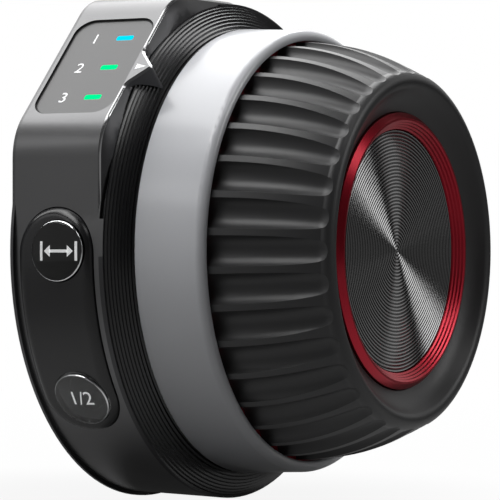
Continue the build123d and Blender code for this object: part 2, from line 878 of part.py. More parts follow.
def spindle():
    body = turned(
        (deck_front, 0),
        (deck_front, spindle_flange_radius),
        (flange_front, spindle_flange_radius),
        (flange_front, spindle_shoulder_radius),
        (bearing_start - tube_gap, spindle_shoulder_radius),
        (bearing_start - tube_gap, spindle_radius),
        (spindle_end, spindle_radius),
        (spindle_end, 0),
    )
    for place in spindle_screw_places():
        body = body - rod(section(deck_front), 0, spindle_shank_length - deck_thickness + slip,
                          spindle_shank_radius + screw_play, place)
    return body - rod(section(spindle_end), -retainer_shank_length, 0,
                      retainer_shank_radius + screw_play)


def spindle_screw_places():
    for number in range(spindle_screws_count):
        yield polar(spindle_screw_circle, 90 + number * 360 / spindle_screws_count)


def spindle_screws():
    one = screw(spindle_head_radius, spindle_head_height, spindle_shank_radius,
                spindle_shank_length)
    return [Pos(deck_rear, *place) * one for place in spindle_screw_places()]


def friction_washer():
    return tube(flange_front, flange_front + friction_thickness, spindle_flange_radius,
                spindle_shoulder_radius + friction_gap)


def bearing(start):
    """A shielded ball bearing; a shallow groove on each face parts its two races."""
    inner = spindle_radius + bearing_play
    race = (bearing_radius - inner) * bearing_race_share
    end = start + bearing_width
    return turned(
        (start, inner),
        (start, inner + race),
        (start + bearing_groove, inner + race),
        (start + bearing_groove, bearing_radius - race),
        (start, bearing_radius - race),
        (start, bearing_radius),
        (end, bearing_radius),
        (end, bearing_radius - race),
        (end - bearing_groove, bearing_radius - race),
        (end - bearing_groove, inner + race),
        (end, inner + race),
        (end, inner),
    )


def retaining_washer():
    return tube(spindle_end, spindle_end + washer_thickness, washer_radius,
                retainer_shank_radius + slip)


def retaining_screw():
    one = screw(retainer_head_radius, retainer_head_height, retainer_shank_radius,
                retainer_shank_length - slip)
    return Pos(spindle_end + washer_thickness, 0, 0) * Rot(0, 0, 180) * one


def sensor_board():
    return tube(deck_front, deck_front + sensor_board_thickness, sensor_board_outer,
                sensor_board_inner)


def position_sensor():
    start = deck_front + sensor_board_thickness
    return block(section(start), 0, sensor_height, sensor_size, sensor_size,
                 polar(sensor_circle, 0))


def encoder_magnet():
    start = hub_tube_rear + magnet_setback
    return tube(start, start + magnet_length, hub_tube_radius + magnet_width, hub_tube_radius)


def stop_pin():
    end = hub_web_rear + stop_pin_seat
    return rod(section(hub_web_rear), -stop_pin_reach, end - hub_web_rear, stop_pin_radius,
               polar(stop_circle, stop_pin_angle))


def lug_half_angle():
    """Half the lug's spread, so that the pin reaches it just past the wheel's limit."""
    pin = degrees(asin(stop_pin_radius / stop_circle))
    return 180 - wheel_limit - pin - degrees(stop_gap / stop_circle)


def lug_screw_places():
    for side in (-1, 1):
        yield polar(stop_circle, lug_angle + side * lug_screw_offset)


def stop_lug():
    ring = tube(deck_front, deck_front + lug_height, stop_circle + lug_half_width,
                stop_circle - lug_half_width)
    far = 2 * stop_circle
    half = lug_half_angle()
    directions = (lug_angle - half, lug_angle, lug_angle + half)
    sector = make_face(Polyline((0, 0), *[polar(far, angle) for angle in directions], close=True))
    lug = ring & extrude(section(deck_front) * sector, lug_height)
    for place in lug_screw_places():
        lug = lug - rod(section(deck_front), 0, lug_shank_length - deck_thickness + slip,
                        lug_shank_radius + screw_play, place)
    return lug


def stop_lug_screws():
    one = screw(lug_head_radius, lug_head_height, lug_shank_radius, lug_shank_length)
    return [Pos(deck_rear, *place) * one for place in lug_screw_places()]


def nose_steps():
    """The hub's stepped inner wall, from its front rim down to the disc."""
    start = Vector(hub_nose_rim, hub_nose_rim_radius - hub_nose_land)
    end = Vector(disc_front, disc_radius + disc_gap)
    inward = (end - start).normalized().rotate(Axis.Z, -90)
    points = []
    for step in range(2 * hub_nose_steps + 1):
        point = start + (end - start) * (step / (2 * hub_nose_steps))
        if step % 2:
            point = point - inward * hub_nose_step_depth
        points.append((point.X, point.Y))
    return points


def wheel_hub():
    hub = turned(
        (hub_tube_rear, bearing_radius),
        (hub_tube_rear, hub_tube_radius),
        (hub_core_front - hub_plug, hub_tube_radius),
        (hub_core_front - hub_plug, hub_core_radius - hub_core_wall),
        (hub_web_rear, hub_core_radius - hub_core_wall),
        (hub_web_rear, hub_rim_radius - hub_rim_wall),
        (hub_rear, hub_rim_radius - hub_rim_wall),
        (hub_rear, hub_flange_radius),
        (hub_rear + hub_flange_edge, hub_flange_radius),
        (hub_rear + hub_flange_edge, hub_rim_radius),
        (hub_rim_front, hub_rim_radius),
        (hub_rim_front, hub_core_radius),
        (hub_core_front, hub_core_radius),
        (hub_core_front, hub_nose_radius),
        (hub_nose_front, hub_nose_radius),
        (hub_nose_rim, hub_nose_rim_radius),
        *nose_steps(),
        (disc_rear, disc_radius + disc_gap),
        (disc_rear, hub_recess_radius),
        (disc_rear - hub_recess, hub_recess_radius),
        (disc_rear - hub_recess, bearing_radius),
        (front_bearing_start, bearing_radius),
        (front_bearing_start, hub_shoulder_radius),
        (bearing_start + bearing_width, hub_shoulder_radius),
        (bearing_start + bearing_width, bearing_radius),
    )
    return hub - rod(section(hub_web_rear), 0, stop_pin_seat, stop_pin_radius,
                     polar(stop_circle, stop_pin_angle))


def front_disc():
    pitch = disc_radius / disc_grooves
    crests = [(disc_front, disc_radius)]
    for groove in range(disc_grooves):
        outer = disc_radius - groove * pitch
        crests.append((disc_front - disc_groove_depth, outer - pitch / 2))
        crests.append((disc_front, outer - pitch))
    return turned((disc_front - disc_thickness, 0), (disc_front - disc_thickness, disc_radius), *crests)


def marking_ring():
    step = hub_rear + hub_flange_edge
    points = (
        (ring_rear, hub_flange_radius + slip),
        (ring_rear, ring_radius),
        (ring_front, ring_radius - ring_taper),
        (ring_front, ring_lip_radius),
        (hub_rim_front + slip, ring_lip_radius),
        (hub_rim_front + slip, hub_rim_radius + slip),
        (step, hub_rim_radius + slip),
        (step, hub_flange_radius + slip),
    )
    rounds = (0, ring_lip_round, ring_round, ring_lip_round, 0, 0, 0, 0)
    return revolve(make_face(FilletPolyline(*points, radius=rounds, close=True)), Axis.X, 360)


def grip_blank():
    """The grip before its flutes: a barrel with a rounded nose and a dished front."""
    rear = (hub_rim_front, grip_rear_radius)
    waist = (grip_waist, grip_waist_radius)
    corner = (grip_end, grip_end_radius)
    nose = (grip_nose, grip_nose_radius)
    dish = (grip_dish, grip_dish_radius)
    inner = (grip_inner, grip_inner_radius)
    bore = hub_nose_radius + slip
    dish_middle = Vector(*dish) * (1 / 2) + Vector(*inner) * (1 / 2)
    sink = (Vector(*inner) - Vector(*dish)).normalized().rotate(Axis.Z, -90) * grip_dish_depth
    dish_middle = dish_middle + sink
    outline = [
        ThreePointArc(rear, waist, corner),
        ThreePointArc(corner, nose, dish),
        ThreePointArc(dish, (dish_middle.X, dish_middle.Y), inner),
        Polyline(inner, (grip_inner - grip_lip_back, bore), (hub_core_front, bore),
                 (hub_core_front, hub_core_radius), (hub_rim_front, hub_core_radius), rear),
    ]
    return revolve(make_face(outline), Axis.X, 360)


def flute_cutter():
    """One flute: a round bar bent along the barrel, closed by a ball at its front end."""
    barrel = ThreePointArc((hub_rim_front, grip_rear_radius), (grip_waist, grip_waist_radius),
                           (grip_end, grip_end_radius))
    front = 1 - flute_end_setback / barrel.length
    depths = ((0, flute_rear_depth), (1 / 2, flute_middle_depth), (front, flute_front_depth))
    points = []
    for share, depth in depths:
        along = barrel % share
        outward = Vector(-along.Y, along.X)
        points.append(barrel @ share + outward * (flute_radius - depth))
    path = ThreePointArc(*points)
    start = Plane(origin=path @ 0, z_dir=path % 0)
    tail = start.offset(-overrun) * Circle(flute_radius)
    bar = sweep(start * Circle(flute_radius), path=path) + extrude(tail, overrun)
    return bar + Pos(path @ 1) * Sphere(flute_radius)


def rubber_grip():
    cutter = flute_cutter()
    cutters = [Rot(number * 360 / flutes, 0, 0) * cutter for number in range(flutes)]
    return grip_blank() - cutters


# Places that follow from the sizes above
board_front = deck_rear - board_standoff
board_rear = board_front - board_thickness
power_place = board_rear - power_switch_height / 2
battery_rear = cover_thickness + pad_thickness
battery_thickness = board_rear - battery_board_gap - battery_rear
port_place = board_rear - port_height / 2
switch_seat = stem_end - button_travel - switch_free_gap - plunger_height - switch_height
switch_board_seat = switch_seat - switch_board_thickness
board_flat = switch_board_seat - bracket_thickness - board_switch_gap
facet_inner = facet_distance - wall
indicator_board_top = facet_inner - post_height
indicator_screw_seat = indicator_board_top - indicator_board_thickness
bar_foot = indicator_board_top + led_height + led_air
window_depth = window_thickness + window_recess
window_floor = facet_distance - window_depth
flange_front = deck_front + spindle_flange
hub_tube_rear = flange_front + friction_thickness + tube_gap
bearing_start = hub_tube_rear + bearing_setback
front_bearing_start = bearing_start + bearing_spread
spindle_end = front_bearing_start + bearing_width + tube_gap
hub_web_rear = hub_rim_front - hub_web
disc_rear = disc_front - disc_thickness


def build_all():
    """Every sub-part by name."""
    pieces = {
        "housing_shell": housing_shell(),
        "rear_cover": rear_cover(),
        "rear_cover_screws": rear_cover_screws(),
        "mount_insert": mount_insert(),
        "grooved_bezel": grooved_bezel(),
        "button_bezel": button_bezel(),
        "display_window": display_window(),
        "window_gasket": window_gasket(),
        "indicator_board": indicator_board(),
        "indicator_leds": indicator_leds(),
        "indicator_board_screws": indicator_board_screws(),
        "main_board": main_board(),
        "main_board_screws": main_board_screws(),
        "radio_module": radio_module(),
        "antenna": antenna(),
        "charging_port": charging_port(),
        "power_switch": power_switch(),
        "battery_cell": battery_cell(),
        "battery_pad": battery_pad(),
        "spindle": spindle(),
        "spindle_screws": spindle_screws(),
        "friction_washer": friction_washer(),
        "retaining_washer": retaining_washer(),
        "retaining_screw": retaining_screw(),
        "sensor_board": sensor_board(),
        "position_sensor": position_sensor(),
        "stop_lug": stop_lug(),
        "stop_lug_screws": stop_lug_screws(),
        "wheel_hub": wheel_hub(),
        "rubber_grip": rubber_grip(),
        "marking_ring": marking_ring(),
        "front_disc": front_disc(),
        "rear_bearing": bearing(bearing_start),
        "front_bearing": bearing(front_bearing_start),
        "encoder_magnet": encoder_magnet(),
        "stop_pin": stop_pin(),
        "power_button": power_button(),
    }
    for number, place in enumerate(bar_places(), 1):
        pieces[f"light_bar_{number}"] = light_bar(place)
    for name, angle in (("upper", upper_button_angle), ("lower", lower_button_angle)):
        pieces[f"{name}_button"] = side_button(angle)
        pieces[f"{name}_button_lens"] = side_button_lens(angle)
        pieces[f"{name}_switch"] = side_switch(angle)
        pieces[f"{name}_switch_board"] = side_switch_board(angle)
    return pieces


os.makedirs("parts", exist_ok=True)
for name, piece in build_all().items():
    if isinstance(piece, list):
        piece = Compound(children=piece)
    export_step(piece, f"parts/{name}.step")
    print(name, round(piece.volume, 2))
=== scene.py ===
from math import cos, pi, radians, sin
import bmesh
import bpy
from mathutils import Matrix, Vector


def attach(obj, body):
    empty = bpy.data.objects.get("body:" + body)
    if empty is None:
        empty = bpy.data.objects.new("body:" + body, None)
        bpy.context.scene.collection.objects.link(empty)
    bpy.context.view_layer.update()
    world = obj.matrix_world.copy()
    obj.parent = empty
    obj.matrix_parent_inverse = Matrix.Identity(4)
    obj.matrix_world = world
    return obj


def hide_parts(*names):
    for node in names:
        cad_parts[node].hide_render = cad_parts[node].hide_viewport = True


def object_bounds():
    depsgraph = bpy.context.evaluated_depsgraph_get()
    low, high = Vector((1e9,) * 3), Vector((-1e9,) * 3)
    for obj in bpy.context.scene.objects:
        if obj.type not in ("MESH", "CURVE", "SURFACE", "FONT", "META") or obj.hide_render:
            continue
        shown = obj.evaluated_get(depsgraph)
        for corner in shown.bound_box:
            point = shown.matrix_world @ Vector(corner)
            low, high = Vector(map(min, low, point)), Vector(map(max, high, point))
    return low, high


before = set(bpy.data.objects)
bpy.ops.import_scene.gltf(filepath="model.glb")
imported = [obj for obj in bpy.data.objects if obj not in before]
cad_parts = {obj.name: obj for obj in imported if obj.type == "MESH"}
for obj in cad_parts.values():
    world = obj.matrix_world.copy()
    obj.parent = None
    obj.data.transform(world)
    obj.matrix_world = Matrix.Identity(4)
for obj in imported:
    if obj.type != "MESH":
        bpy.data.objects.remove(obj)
cad_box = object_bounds()
mm = 0.001


# Housing shell: a die-cast drum with one squared corner, bead blasted and painted dark gunmetal.
# The sloped facet and the pointer on it are part of the same casting. The edge of the corner and
# of the pointer is cut bright. The slope behind the wheel gets a darker copy of the paint, a
# painted shade.

def set_values(made, **sockets):
    """Constant values for a node's own sockets, with _ for the space in a socket's name."""
    for socket, value in sockets.items():
        made.inputs[socket.replace("_", " ")].default_value = value


def node(owner, kind, **settings):
    """A new node of a material or of the studio's world."""
    made = owner.node_tree.nodes.new(kind)
    for name, value in settings.items():
        setattr(made, name, value)
    return made


def wire(owner, start, end):
    owner.node_tree.links.new(start, end)


def shader_of(material):
    return material.node_tree.nodes["Principled BSDF"]


def finish_of(name, color, roughness, **sockets):
    """A new material: one shader with constant values on its own sockets."""
    material = bpy.data.materials.new(name)
    material.use_nodes = True
    set_values(shader_of(material), Base_Color=(*color, 1), Roughness=roughness, **sockets)
    material.diffuse_color = (*color, 1)
    return material


def lumps_on(material, size, detail):
    """Noise on object coordinates, in lumps of about the given size."""
    noise = node(material, "ShaderNodeTexNoise")
    set_values(noise, Scale=1 / size, Detail=detail)
    spot = node(material, "ShaderNodeTexCoord")
    wire(material, spot.outputs["Object"], noise.inputs["Vector"])
    return noise.outputs["Fac"]


def grain(material, size, height, roughness):
    """Fine surface grain: low bumps, and roughness that goes between the two values given."""
    shader, lumps = shader_of(material), lumps_on(material, size, detail=3)
    bump = node(material, "ShaderNodeBump")
    set_values(bump, Distance=height, Strength=0.6)
    wire(material, lumps, bump.inputs["Height"])
    wire(material, bump.outputs["Normal"], shader.inputs["Normal"])
    smoothest, roughest = roughness
    spread = node(material, "ShaderNodeMapRange")
    set_values(spread, To_Min=smoothest, To_Max=roughest)
    wire(material, lumps, spread.inputs["Value"])
    wire(material, spread.outputs["Result"], shader.inputs["Roughness"])


def mottle(material, size, dark, light):
    """Slow colour changes between two close tones."""
    ramp = node(material, "ShaderNodeValToRGB")
    for stop, level, tone in zip(ramp.color_ramp.elements, (0.3, 0.7), (dark, light)):
        stop.position = level
        stop.color = (*tone, 1)
    wire(material, lumps_on(material, size, detail=2), ramp.inputs["Fac"])
    wire(material, ramp.outputs["Color"], shader_of(material).inputs["Base Color"])


def object_of(name, mesh, material):
    made = bpy.data.objects.new(name, mesh)
    bpy.context.scene.collection.objects.link(made)
    mesh.materials.clear()
    mesh.materials.append(material)
    return made


def keep_piece(name, shape, material, body, smooth=True):
    """Turns a finished bmesh into an object that rides on a body."""
    mesh = bpy.data.meshes.new(name)
    shape.to_mesh(mesh)
    shape.free()
    piece = object_of(name, mesh, material)
    for face in mesh.polygons:
        face.use_smooth = smooth
    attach(piece, body)
    return piece


def finished_copy(cad_node, body, material, sharp=30):
    """A merged copy of a CAD node: smooth curved faces, and crisp edges above the sharp angle."""
    shape = bmesh.new()
    shape.from_mesh(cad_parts[cad_node].data)
    bmesh.ops.remove_doubles(shape, verts=shape.verts[:], dist=0.002 * mm)
    bmesh.ops.dissolve_degenerate(shape, edges=shape.edges[:], dist=0.001 * mm)
    for edge in shape.edges:
        edge.smooth = edge.is_manifold and edge.calc_face_angle(0) < radians(sharp)
    piece = keep_piece(cad_node + "_finished", shape, material, body)
    even = piece.modifiers.new("even shading", "WEIGHTED_NORMAL")
    even.keep_sharp = True
    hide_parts(cad_node)
    return piece


gunmetal = finish_of("gunmetal paint", (0.132, 0.132, 0.134), 0.34, Metallic=0.9)
grain(gunmetal, size=0.25 * mm, height=0.002 * mm, roughness=(0.31, 0.37))
mottle(gunmetal, size=14 * mm, dark=(0.128, 0.128, 0.130), light=(0.136, 0.136, 0.138))
cut_edge = finish_of("bright cut edge", (0.62, 0.62, 0.63), 0.22, Metallic=1.0)
grain(cut_edge, size=0.15 * mm, height=0.001 * mm, roughness=(0.15, 0.20))
# A darker copy of the gunmetal paint: painted shade on the sloping front behind the wheel.
front_shade_paint = finish_of("front paint, painted shade", (0.055, 0.055, 0.057), 0.36, Metallic=0.9)
grain(front_shade_paint, size=0.25 * mm, height=0.002 * mm, roughness=(0.33, 0.39))
housing = finished_copy("housing_shell", "housing", gunmetal)
housing.data.materials.append(cut_edge)
housing.data.materials.append(front_shade_paint)
cut_edge_index, front_shade_index = 1, 2

facet_angle = 136.3
facet_face = 37.04 * mm
facet_out = Vector((0, cos(radians(facet_angle)), sin(radians(facet_angle))))
facet_lean = 0.7
corner_front = 14.55 * mm
corner_touch = corner_front - 0.01 * mm
edge_break = 0.3 * mm


def is_break(lean):
    """Whether a face leans as a broken edge does, about halfway between its two sides."""
    least, most = 0.5, 0.9
    return least < lean < most


for face in housing.data.polygons:
    x, lean = face.center.x, face.normal.dot(facet_out)
    below_facet = facet_face - face.center.dot(facet_out)
    on_corner = corner_front - edge_break < x < corner_front and is_break(face.normal.x)
    on_pointer = x > corner_touch and is_break(lean) and 0 < below_facet < edge_break
    if on_corner or on_pointer:
        face.material_index = cut_edge_index
    # The sloping front behind the wheel takes the darker copy of the paint, a painted shade.
    elif x > corner_front and lean < facet_lean:
        face.material_index = front_shade_index


# Rear cover: a die-cast plate in the drum's paint, screwed to the drum from behind. Its boss holds
# the threaded insert and the two locating holes that a rig arm seats on.

cover_paint = finish_of("cover paint", (0.100, 0.100, 0.102), 0.38, Metallic=0.9)
grain(cover_paint, size=0.22 * mm, height=0.003 * mm, roughness=(0.34, 0.42))
cover = finished_copy("rear_cover", "housing", cover_paint)


# Cover screws and insert: four black oxide socket screws, and a brass camera thread insert that
# is moulded into the boss.

def dress(material, *cad_nodes):
    """Gives the CAD nodes' own objects a better material."""
    for cad_node in cad_nodes:
        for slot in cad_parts[cad_node].material_slots:
            slot.material = material


black_oxide = finish_of("black oxide steel", (0.05, 0.05, 0.055), 0.38, Metallic=1.0)
grain(black_oxide, size=0.12 * mm, height=0.002 * mm, roughness=(0.32, 0.46))
dress(black_oxide, "rear_cover_screws")
brass = finish_of("machined brass", (0.70, 0.50, 0.20), 0.28, Metallic=1.0)
grain(brass, size=0.10 * mm, height=0.002 * mm, roughness=(0.22, 0.36))
dress(brass, "mount_insert")


# Grooved bezel: a black plastic ring turned with nine fine grooves on its shoulder. It is pressed
# onto the drum's front and hides the gap behind the wheel.

groove_sharp = 12
bezel_black = finish_of("turned black plastic", (0.012, 0.012, 0.013), 0.26)
grain(bezel_black, size=0.20 * mm, height=0.001 * mm, roughness=(0.23, 0.29))
bezel = finished_copy("grooved_bezel", "housing", bezel_black, sharp=groove_sharp)


# Button bezel: a satin black pad with rounded ends, set into the side of the drum round the
# two buttons.

pad_gloss = finish_of("satin black plastic", (0.012, 0.012, 0.013), 0.25)
grain(pad_gloss, size=0.4 * mm, height=0.001 * mm, roughness=(0.23, 0.28))
pad = finished_copy("button_bezel", "housing", pad_gloss)


# Side buttons: a black moulded base with a printed mark, under a clear domed cap that is glued
# on, with a painted highlight in mirror finish round its steep edge. Each one is pushed in against
# its switch.

button_black = finish_of("moulded button black", (0.010, 0.010, 0.011), 0.42)
grain(button_black, size=0.15 * mm, height=0.006 * mm, roughness=(0.36, 0.48))
clear_dome = finish_of("clear moulded dome", (0.96, 0.97, 0.97), 0.03,
                       Transmission_Weight=1.0, IOR=1.49)
grain(clear_dome, size=3.0 * mm, height=0.001 * mm, roughness=(0.02, 0.05))
# A bright mirror finish on the dome's steep sides: a painted highlight for its rim.
dome_rim_glint = finish_of("dome rim, painted highlight", (0.80, 0.81, 0.82), 0.10, Metallic=1.0)
grain(dome_rim_glint, size=0.5 * mm, height=0.001 * mm, roughness=(0.08, 0.14))
dome_glint_index = 1
dome_sharp = 40
dome_glint_angle = 35
dome_foot = 36.9 * mm
button_angles = {"upper": 180, "lower": 213.5}
for side, angle in button_angles.items():
    base = finished_copy(side + "_button", side + "_button", button_black)
    dome = finished_copy(side + "_button_lens", side + "_button", clear_dome, sharp=dome_sharp)
    dome.data.materials.append(dome_rim_glint)
    out = Vector((0, cos(radians(angle)), sin(radians(angle))))
    for face in dome.data.polygons:
        steep = abs(face.normal.dot(out)) < cos(radians(dome_glint_angle))
        if steep and face.center.dot(out) > dome_foot:
            face.material_index = dome_glint_index


# Button marks: pad printed in white on the bases, under the domes. The upper one is a range sign
# of two bars and a double arrow, the lower one reads 1/2.

# The white print glows faintly though it is no lamp: painted light.
glowing_white_print = finish_of("white print, painted glow", (0.82, 0.83, 0.84), 0.5,
                        Emission_Strength=0.35, Emission_Color=(1, 1, 1, 1))
grain(glowing_white_print, size=0.2 * mm, height=0.002 * mm, roughness=(0.45, 0.55))
print_depth = 0.012 * mm
capital_share = 0.7


def outward(angle, x, distance):
    """A place on the drum: x along the wheel's axis, y round it and z straight out."""
    along = Vector((1, 0, 0))
    out = Vector((0, cos(radians(angle)), sin(radians(angle))))
    turned = Matrix((along, out.cross(along), out)).transposed().to_4x4()
    return Matrix.Translation(Vector((x, 0, 0)) + out * distance) @ turned


def printed_text(name, words, height, middle, place, body):
    """Printed characters, made a mesh, centred on a point of the given place."""
    curve = bpy.data.curves.new(name, "FONT")
    curve.body = words
    curve.size = height / capital_share
    curve.extrude = print_depth
    curve.resolution_u = 6
    draft = bpy.data.objects.new(name + "_draft", curve)
    bpy.context.scene.collection.objects.link(draft)
    bpy.context.view_layer.update()
    finished = draft.evaluated_get(bpy.context.evaluated_depsgraph_get())
    mesh = bpy.data.meshes.new_from_object(finished)
    bpy.data.objects.remove(draft)
    spans = [[vertex.co[axis] for vertex in mesh.vertices] for axis in (0, 1)]
    across, up = [point - (min(span) + max(span)) / 2 for point, span in zip(middle, spans)]
    mesh.transform(place @ Matrix.Translation((across, up, 0)))
    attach(object_of(name, mesh, glowing_white_print), body)


def printed_shape(name, outlines, place, body):
    """Flat printed shapes, each from its outline's corners."""
    shape = bmesh.new()
    for outline in outlines:
        face = shape.faces.new([shape.verts.new((x, y, 0)) for x, y in outline])
        made = bmesh.ops.extrude_face_region(shape, geom=[face])["geom"]
        raised = [item for item in made if isinstance(item, bmesh.types.BMVert)]
        bmesh.ops.translate(shape, verts=raised, vec=(0, 0, print_depth))
    bmesh.ops.recalc_face_normals(shape, faces=shape.faces[:])
    bmesh.ops.transform(shape, matrix=place, verts=shape.verts[:])
    keep_piece(name, shape, glowing_white_print, body, smooth=False)


def bar(left, right, low, high):
    return [(left, low), (right, low), (right, high), (left, high)]


button_x = 8.57 * mm
button_face = 36.35 * mm + 2 * print_depth
bar_half, bar_high, line_half = 2.75 * mm, 1.30 * mm, 0.20 * mm
head_long, head_high, shaft_end = 0.95 * mm, 0.80 * mm, 1.45 * mm
tip = bar_half - 0.45 * mm
pair_high = 2.1 * mm
range_sign = [
    bar(-bar_half - line_half, -bar_half + line_half, -bar_high, bar_high),
    bar(bar_half - line_half, bar_half + line_half, -bar_high, bar_high),
    bar(-shaft_end, shaft_end, -line_half, line_half),
    [(-tip, 0), (-tip + head_long, -head_high), (-tip + head_long, head_high)],
    [(tip - head_long, -head_high), (tip, 0), (tip - head_long, head_high)],
]
printed_shape("range_mark", range_sign,
              outward(button_angles["upper"], button_x, button_face), "upper_button")
printed_text("pair_mark", "1/2", pair_high, (0, 0),
             outward(button_angles["lower"], button_x, button_face), "lower_button")


# Display panel: a smoked plastic pane in a thin black gasket, glued into a pocket of the sloped
# facet. Light bars shine through it, with a printed number beside each.

pane_smoke = finish_of("smoked pane", (0.045, 0.045, 0.046), 0.32)
grain(pane_smoke, size=0.30 * mm, height=0.0005 * mm, roughness=(0.30, 0.34))
dress(pane_smoke, "display_window")
gasket_black = finish_of("gasket rubber", (0.010, 0.010, 0.010), 0.7)
grain(gasket_black, size=0.10 * mm, height=0.004 * mm, roughness=(0.62, 0.78))
dress(gasket_black, "window_gasket")
unlit_share = 0.1


def light_of(name, color):
    """A lit bar: it glows in its colour, and mirrors nothing."""
    light = finish_of(name, [unlit_share * part for part in color], 0.5, Emission_Strength=1.0,
                      Emission_Color=(*color, 1), Specular_IOR_Level=0.0)
    grain(light, size=0.3 * mm, height=0.001 * mm, roughness=(0.45, 0.55))
    return light


dress(light_of("cyan light", (0.0, 0.76, 1.0)), "light_bar_1")
dress(light_of("green light", (0.0, 1.0, 0.32)), "light_bar_2", "light_bar_3")
pane_sunk = 0.3 * mm
number_place = outward(facet_angle, 0, facet_face - pane_sunk + print_depth)
number_x, number_high = 5.1 * mm, 1.9 * mm
for number, row in enumerate((6.42 * mm, 0.42 * mm, -5.58 * mm), 1):
    printed_text(f"number_{number}", str(number), number_high, (number_x, row), number_place,
                 "housing")


# Index mark: a small white triangle pad printed on the pointer. The marking ring is read
# against it.

mark_start, mark_end, mark_half = 14.75 * mm, 16.42 * mm, 0.56 * mm
printed_shape("index_mark", [[(mark_start, -mark_half), (mark_end, 0), (mark_start, mark_half)]],
              outward(facet_angle, 0, facet_face + print_depth), "housing")


# Wheel hub: turned aluminium, anodised deep red. Fine steps are turned into the wall of the
# recess that holds the front disc.

hub_red = finish_of("red anodised aluminium", (0.46, 0.010, 0.028), 0.30, Metallic=0.9,
                    Coat_Weight=0.3, Coat_Roughness=0.2)
grain(hub_red, size=0.20 * mm, height=0.002 * mm, roughness=(0.26, 0.36))
hub = finished_copy("wheel_hub", "wheel", hub_red, sharp=groove_sharp)


# Marking ring: a white plastic ring with a satin gloss, snapped over the hub behind the grip. A
# focus puller writes on it with a marker.

ring_white = finish_of("white marking plastic", (0.70, 0.71, 0.74), 0.20)
grain(ring_white, size=0.40 * mm, height=0.0005 * mm, roughness=(0.18, 0.22))
ring = finished_copy("marking_ring", "wheel", ring_white)


# Grip: a barrel-shaped rubber sleeve with 36 flutes and a dished front, moulded in one piece and
# stretched over the hub.

grip_black = finish_of("black grip rubber", (0.032, 0.032, 0.033), 0.40, Specular_IOR_Level=0.50)
grain(grip_black, size=0.22 * mm, height=0.004 * mm, roughness=(0.37, 0.45))
grip = finished_copy("rubber_grip", "wheel", grip_black)


# Front disc: dark anodised aluminium, faced on a lathe with 35 fine concentric grooves and glued
# into the hub. Its colour is darkened towards the bottom of each groove, a painted shade.

def work_out(owner, operation, *numbers):
    """A sum of a material or of the world, from plain numbers and other nodes' outputs."""
    made = node(owner, "ShaderNodeMath", operation=operation)
    for socket, number in zip(made.inputs, numbers):
        if isinstance(number, float):
            socket.default_value = number
        else:
            wire(owner, number, socket)
    return made.outputs[0]


disc_dark = finish_of("dark turned aluminium", (0.19, 0.19, 0.193), 0.22, Metallic=1.0,
                      Anisotropic=0.6, Anisotropic_Rotation=0.25)
disc_shader = shader_of(disc_dark)
around = node(disc_dark, "ShaderNodeTangent", direction_type="RADIAL", axis="X")
wire(disc_dark, around.outputs["Tangent"], disc_shader.inputs["Tangent"])

disc_radius = 17.1 * mm
groove_pitch = disc_radius / 35
# The colour falls from the land's tone to near black in each groove's bottom: painted shade.
land_half, groove_shade_start = 0.10 * groove_pitch, 0.36 * groove_pitch
land_tone, groove_shade_tone = 0.24, 0.015
disc_spot = node(disc_dark, "ShaderNodeTexCoord")
off_axis = node(disc_dark, "ShaderNodeVectorMath", operation="MULTIPLY")
off_axis.inputs[1].default_value = (0, 1, 1)
wire(disc_dark, disc_spot.outputs["Object"], off_axis.inputs[0])
radius = node(disc_dark, "ShaderNodeVectorMath", operation="LENGTH")
wire(disc_dark, off_axis.outputs["Vector"], radius.inputs[0])
inward = work_out(disc_dark, "SUBTRACT", disc_radius, radius.outputs["Value"])
from_land = work_out(disc_dark, "PINGPONG", inward, groove_pitch / 2)
tone = node(disc_dark, "ShaderNodeMapRange", interpolation_type="SMOOTHSTEP")
set_values(tone, From_Min=land_half, From_Max=groove_shade_start, To_Min=land_tone, To_Max=groove_shade_tone)
wire(disc_dark, from_land, tone.inputs["Value"])
wire(disc_dark, tone.outputs["Result"], disc_shader.inputs["Base Color"])
disc = finished_copy("front_disc", "wheel", disc_dark, sharp=groove_sharp)


# Power button: a small black button on the side turned away from the display. It is pressed with
# a fingertip.

power = finished_copy("power_button", "power_button", button_black)


# Charging port and radio module: stamped and tinned steel shells, soldered to the main board. The
# port's shell holds a plastic tongue.

tin = finish_of("tinned steel", (0.55, 0.55, 0.53), 0.30, Metallic=1.0)
grain(tin, size=0.10 * mm, height=0.002 * mm, roughness=(0.24, 0.38))
dress(tin, "charging_port", "radio_module")


# Turning parts inside the wheel: a steel spindle on two ball bearings, its washer and screws, the
# end stops and the magnet that the sensor reads.

steel = finish_of("machined steel", (0.50, 0.50, 0.51), 0.26, Metallic=1.0)
grain(steel, size=0.12 * mm, height=0.002 * mm, roughness=(0.20, 0.34))
dress(steel, "spindle", "spindle_screws", "retaining_washer", "retaining_screw", "stop_lug",
      "stop_lug_screws", "rear_bearing", "front_bearing", "stop_pin", "main_board_screws",
      "indicator_board_screws")
nickel = finish_of("nickel plated magnet", (0.40, 0.40, 0.41), 0.22, Metallic=1.0)
grain(nickel, size=0.15 * mm, height=0.002 * mm, roughness=(0.18, 0.28))
dress(nickel, "encoder_magnet")
slick_white = finish_of("slick white washer", (0.80, 0.80, 0.78), 0.45)
grain(slick_white, size=0.10 * mm, height=0.002 * mm, roughness=(0.40, 0.52))
dress(slick_white, "friction_washer")


# Electronics: green boards with black moulded switches and chips, a ceramic antenna, resin lamps,
# and a foil cell on a foam pad.

